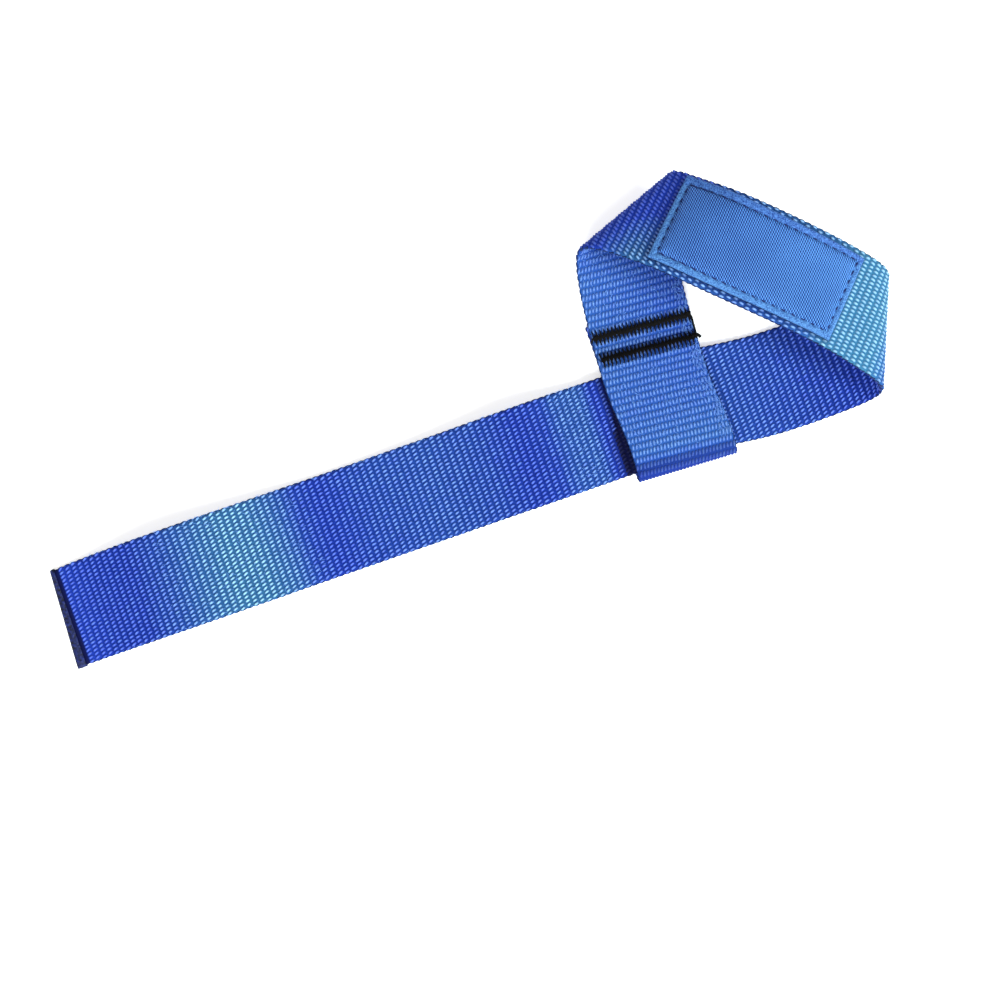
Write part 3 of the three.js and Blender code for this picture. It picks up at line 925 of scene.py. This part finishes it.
def padRise(along, aside):  # height of the cover above the webbing
    inset = np.minimum.reduce([along, pad["length"] - along, aside, pad["width"] - aside])
    near, far, lower, upper = padSides(along, aside)
    inside = np.minimum.reduce([near, far, lower, upper])
    lip = pad["edge"] + (pad["hem"] - pad["edge"]) * np.clip(inset / padForm["lip"], 0, 1) ** 0.5
    crown = (pad["full"] - pad["hem"]) * (1 - np.exp(-np.clip(inside, 0, None) / padForm["crown"]))
    around = np.where(np.minimum(near, far) > np.minimum(lower, upper), near, lower)
    between = np.cos(2 * pi * around / stitchLine["pitch"])  # 1 between stitches, -1 at the middle of one
    depth = pad["groove"] - padForm["grooveWave"] * between
    groove = depth * np.exp(-((inside / padForm["groove"]) ** 2))
    aroundRidge = (np.abs(inside) - padForm["ridgeAt"]) / padForm["ridge"]
    ridge = pad["ridge"] * between * np.exp(-aroundRidge ** 2)
    return lip + crown - groove + ridge * (inset > padForm["plainRim"])


def padAcross(along, aside):  # the strip's own t; the pad narrows towards its near end
    return pad["lowSide"] + aside * (pad["nearShare"] + (1 - pad["nearShare"]) * along / pad["length"])


def padPiece():  # a closed skin: a fine top, a flat underside and a wall round them
    along, aside = (np.linspace(0, pad[key], int(pad[key] / pad["step"]) + 1) for key in ("length", "width"))
    grid = np.meshgrid(along, aside, indexing="ij")
    rise = padRise(*grid)
    top = np.column_stack([g.ravel() for g in (*grid, rise)])
    bottom = np.column_stack([g.ravel() for g in (*grid, np.full_like(rise, -padForm["under"]))])
    rows, columns = len(along), len(aside)
    i, j = np.meshgrid(np.arange(rows - 1), np.arange(columns - 1), indexing="ij")
    corner = i * columns + j
    upper = np.stack([corner, corner + 1, corner + columns + 1, corner + columns], -1).reshape(-1, 4)
    lower = upper[:, ::-1] + rows * columns
    rim = np.concatenate([
        np.arange(columns), np.arange(1, rows) * columns + columns - 1,
        (rows - 1) * columns + np.arange(columns - 1)[::-1], np.arange(1, rows - 1)[::-1] * columns])
    after = np.roll(rim, -1)
    wall = np.stack([rim, rim + rows * columns, after + rows * columns, after], -1)
    faces = np.vstack([upper, lower, wall]).tolist()
    along, aside, rise = np.vstack([top, bottom]).T
    s, t = padStart + along, padAcross(along, aside)
    points = strapPoints(s, t, -(halfThickness + rise))
    places = np.column_stack([s, t, rise])
    piece = meshOf("wrist_pad_cover", points, faces, finishes["pad"], places=places)
    outside = -np.minimum.reduce(padSides(along, aside))
    addNumbers(piece, "hem", np.clip(outside / padForm["hemBlend"], 0, 1))
    return piece


def stitchPlaces(shift):  # evenly along the stitch line, with the direction there
    near, far, low = stitchLine["near"], pad["length"] - stitchLine["far"], stitchLine["lower"]
    upNear, upFar = (pad["width"] - stitchLine[key] for key in ("upperNear", "upperFar"))
    corners = np.array([(near, low), (far, low), (far, upFar), (near, upNear)])
    rows = []
    for a, b in zip(corners, np.roll(corners, -1, axis=0)):
        way = b - a
        count = int(round(np.linalg.norm(way) / stitchLine["pitch"]))
        share = (np.arange(count) + shift) / count
        angle = np.full(count, np.arctan2(way[1], way[0]))
        rows.append(np.column_stack([a + share[:, None] * way, angle]))
    return np.vstack(rows)


padStitch = {
    "length": 3.0, "width": 0.66, "height": 0.55, "droop": 0.2,
    "lean": 12, "clear": 0.1, "uneven": 0.07, "turn": 4,
}


def padStitches(seed):
    along, aside, angle = stitchPlaces(0.5).T
    s, t = padStart + along, padAcross(along, aside)
    h = -(halfThickness + padRise(along, aside) + padStitch["clear"])
    rough = np.random.default_rng(seed)
    slant = angle + radians(padStitch["lean"]) + rough.normal(0, radians(padStitch["turn"]), len(s))
    turns = strapTurns(s, t, h, slant, -1)
    sizes = 1 + rough.normal(0, padStitch["uneven"], (len(s), 3))
    piece = yarnPoints("pad_stitches", (s, t, h), turns, sizes, "stitch")
    return growYarns(piece, padStitch, seed)


padCover = padPiece()
ride(padCover, "pad_cover", "wrist_pad")
ride(padStitches(6), "pad_cover")
print("wrist pad made")


# Bar tacks: a wide zigzag, sewn over twice, under a dense satin core

tacks = {
    "pitch": 1.45, "reach": 2.8, "thread": 0.36, "secondPass": 0.16, "tipEase": 0.9,
    "seat": 0.05, "arch": 0.25, "steps": 8, "uneven": 0.025, "linkInset": 0.55,
    "upper": {"from": -17.9, "to": 19}, "lower": {"from": -17.3, "to": 17.9},
}
satin = {
    "length": 2.6, "width": 0.5, "height": 0.5, "droop": 0.25,
    "pitch": 0.34, "inset": 0.3, "lean": 10, "rise": 0.3, "uneven": 0.06,
}


def zigzag(middle, first, last, shift):  # the threads run flat and close together near each tip
    t = np.arange(first, last, tacks["pitch"] / 2)
    tip = middle + (tacks["reach"] - abs(shift)) * np.where(np.arange(len(t)) % 2, 1, -1)
    share = np.linspace(0, 1, tacks["steps"] + 1)[:-1]
    spread = turned(share, tacks["tipEase"])
    rise = halfThickness + tacks["seat"] + tacks["arch"] * np.sin(pi * share) ** 0.5
    rows = []
    for a, b, ta, tb in zip(tip, tip[1:], t, t[1:]):
        rows.append(np.column_stack([a + (b - a) * share, ta + (tb - ta) * spread + shift, rise]))
    return np.vstack(rows)


def barTack(name, middle, reach, node, seed):
    rough = np.random.default_rng(seed)
    passes = [zigzag(middle, reach["from"], reach["to"], shift) for shift in (0, tacks["secondPass"])]
    for path in passes:
        path += rough.normal(0, tacks["uneven"], path.shape)
    paths = [strapPoints(*path.T) for path in passes]
    teeth = threadPiece(name + "_zigzag", paths, tacks["thread"], finishes["tack"])
    t = np.arange(reach["from"] + satin["inset"], reach["to"] - satin["inset"], satin["pitch"])
    s = middle + rough.normal(0, satin["uneven"], len(t))
    slant = radians(satin["lean"]) * np.where(np.arange(len(t)) % 2, 1, -1)
    sizes = 1 + rough.normal(0, satin["uneven"], (len(t), 3))
    h = halfThickness + satin["rise"]
    turns = strapTurns(s, t, h, slant, 1)
    band = yarnPoints(name + "_satin", (s, t, h), turns, sizes, "tack")
    growYarns(band, satin, seed)
    ride(band, "tack_thread", node)
    ride(teeth, "tack_thread")


def looseThread():  # from tack to tack along the edge, ending in a knot; one turn round the other edge
    up, low = lay["upperTack"], lay["lowerTack"]
    edge = halfWidth - tacks["linkInset"]
    rows = {  # thickness, then places along and across the strip and above its middle
        "link": (0.85, [
            (up - 0.9, edge - 1.2, 1.5), (up, edge - 0.4, 1.55), (up + 1, edge + 0.1, 1.25),
            (up + 3, edge + 0.15, 1.1), (up + 5, edge + 0.15, 1.1), (low - 2.2, edge + 0.1, 1.15),
            (low - 1.2, edge, 1.4), (low, edge - 0.9, 1.6)]),
        "knot": (1.5, [
            (low + 0.3, edge - 1.8, 1.5), (low - 0.4, edge - 0.9, 1.75), (low - 0.1, edge + 0.2, 1.7),
            (low + 0.6, edge - 0.2, 1.6), (low + 0.2, edge - 0.6, 1.9), (low + 0.1, edge + 0.6, 1.6)]),
        "end": (1.2, [(low, edge + 0.3, 1.6), (low + 0.4, edge + 0.9, 1.5), (low + 0.9, edge + 1.3, 1.2)]),
        "wrap": (0.8, [
            (up - 0.6, 1.6 - edge, 1.5), (up, 0.4 - edge, 1.5), (up + 0.5, -edge - 0.1, 1.2),
            (up + 0.9, -edge - 0.3, 0.4), (up + 1.2, -edge - 0.1, -0.4)]),
    }
    for name, (thickness, places) in rows.items():
        path = strapPoints(*np.array(places).T)
        ride(threadPiece("tack_thread_" + name, [path], thickness, finishes["tack"]), "tack_thread")


barTack("upper_tack", lay["upperTack"], tacks["upper"], "upper_bar_tack", 8)
barTack("lower_tack", lay["lowerTack"], tacks["lower"], "lower_bar_tack", 9)
looseThread()
print("bar tacks made")


# Sealed end: a melted bead, lumpy and a little proud

seal = {
    "length": 2.4, "back": 0.4, "cut": 0.052, "proud": 0.3, "roundness": 0.8, "lumps": 0.09,
    "rings": 14, "around": 120, "flatWide": 0.16, "flatHigh": 0.8,
    "dent": {"place": 0.72, "depth": 0.12, "spread": 0.09},
}


def sealedEnd():
    rough = np.random.default_rng(10)
    share = np.linspace(0, 1, seal["rings"])
    dent = seal["dent"]
    bulge = np.sqrt(1 - seal["roundness"] * (2 * share - 1) ** 2)
    bulge = bulge - dent["depth"] * np.exp(-((share - dent["place"]) / dent["spread"]) ** 2)
    angle = np.linspace(0, 2 * pi, seal["around"], endpoint=False)
    wide, high = (  # low powers make a flat strip with round edges
        np.sign(part) * np.abs(part) ** seal[key]
        for part, key in ((np.cos(angle), "flatWide"), (np.sin(angle), "flatHigh"))
    )
    lumps = rough.normal(0, seal["lumps"], (seal["rings"], seal["around"]))
    lumps = (lumps + np.roll(lumps, 1, 1) + np.roll(lumps, -1, 1)) / 3
    t = (halfWidth + seal["proud"] * bulge)[:, None] * wide[None, :]
    h = (halfThickness * bulge)[:, None] * high[None, :] + lumps * bulge[:, None]
    outOfSquare = t * seal["cut"] - seal["back"]
    s = share[:, None] * seal["length"] + (1 - share)[:, None] * outOfSquare
    faces = ringFaces(seal["rings"], seal["around"])
    piece = meshOf("sealed_end_bead", strapPoints(s, t, h), faces, finishes["seal"])
    ride(piece, "sealed_webbing", "sealed_end")


sealedEnd()
print("sealed end made")


# Floor, light and camera

def floorFinish(graph):  # a pale board that glows a little, as one lit from below does
    mottle = graph.noise(40.0)
    base = graph.blendColours(mottle, colour(0.86, 0.86, 0.85), colour(0.9, 0.9, 0.89))
    glow = {"Emission Color": colour(1.0, 0.985, 0.91), "Emission Strength": 0.57}
    return {"Base Color": base, "Roughness": 0.8, "Specular IOR Level": 0.1, **glow}


floorSize = 1500
corners = [(x * floorSize, y * floorSize, 0) for x, y in ((-1, -1), (1, -1), (1, 1), (-1, 1))]
floor = meshOf("floor", corners, [[0, 1, 2, 3]], finish("pale floor", floorFinish))


def softLight(name, place, size, power, tint):  # aimed at the origin
    data = bpy.data.lights.new(name, "AREA")
    data.shape = "DISK"
    data.size = size
    data.energy = power
    data.color = tint
    light = bpy.data.objects.new(name, data)
    light.location = place
    light.rotation_mode = "QUATERNION"
    light.rotation_quaternion = (-Vector(place)).to_track_quat("-Z", "Y")
    bpy.context.scene.collection.objects.link(light)


softLight("key", (2.0, -0.5, 1.5), size=0.8, power=88, tint=(0.88, 1.0, 0.98))
softLight("fill", (-0.2, -1.4, 1.2), size=1.2, power=48, tint=(0.92, 1.0, 1.0))
world = bpy.data.worlds.new("studio")
bpy.context.scene.world = world
world.use_nodes = True
backdrop = world.node_tree.nodes["Background"]
backdrop.inputs["Color"].default_value = colour(0.95, 0.95, 1.0)
backdrop.inputs["Strength"].default_value = 0.6

view = {"x": 12.54, "y": -28.57, "height": 730, "pixelsPerMm": 2.737, "pixels": 1000, "sensor": 36}
camera = bpy.data.objects.new("camera", bpy.data.cameras.new("camera"))
camera.location = (view["x"] * mm, view["y"] * mm, view["height"] * mm)
camera.data.sensor_width = view["sensor"]
camera.data.lens = view["sensor"] * view["height"] * view["pixelsPerMm"] / view["pixels"]
camera.data.clip_start = 0.01
bpy.context.scene.collection.objects.link(camera)
bpy.context.scene.camera = camera
bpy.context.scene.view_settings.view_transform = "Standard"
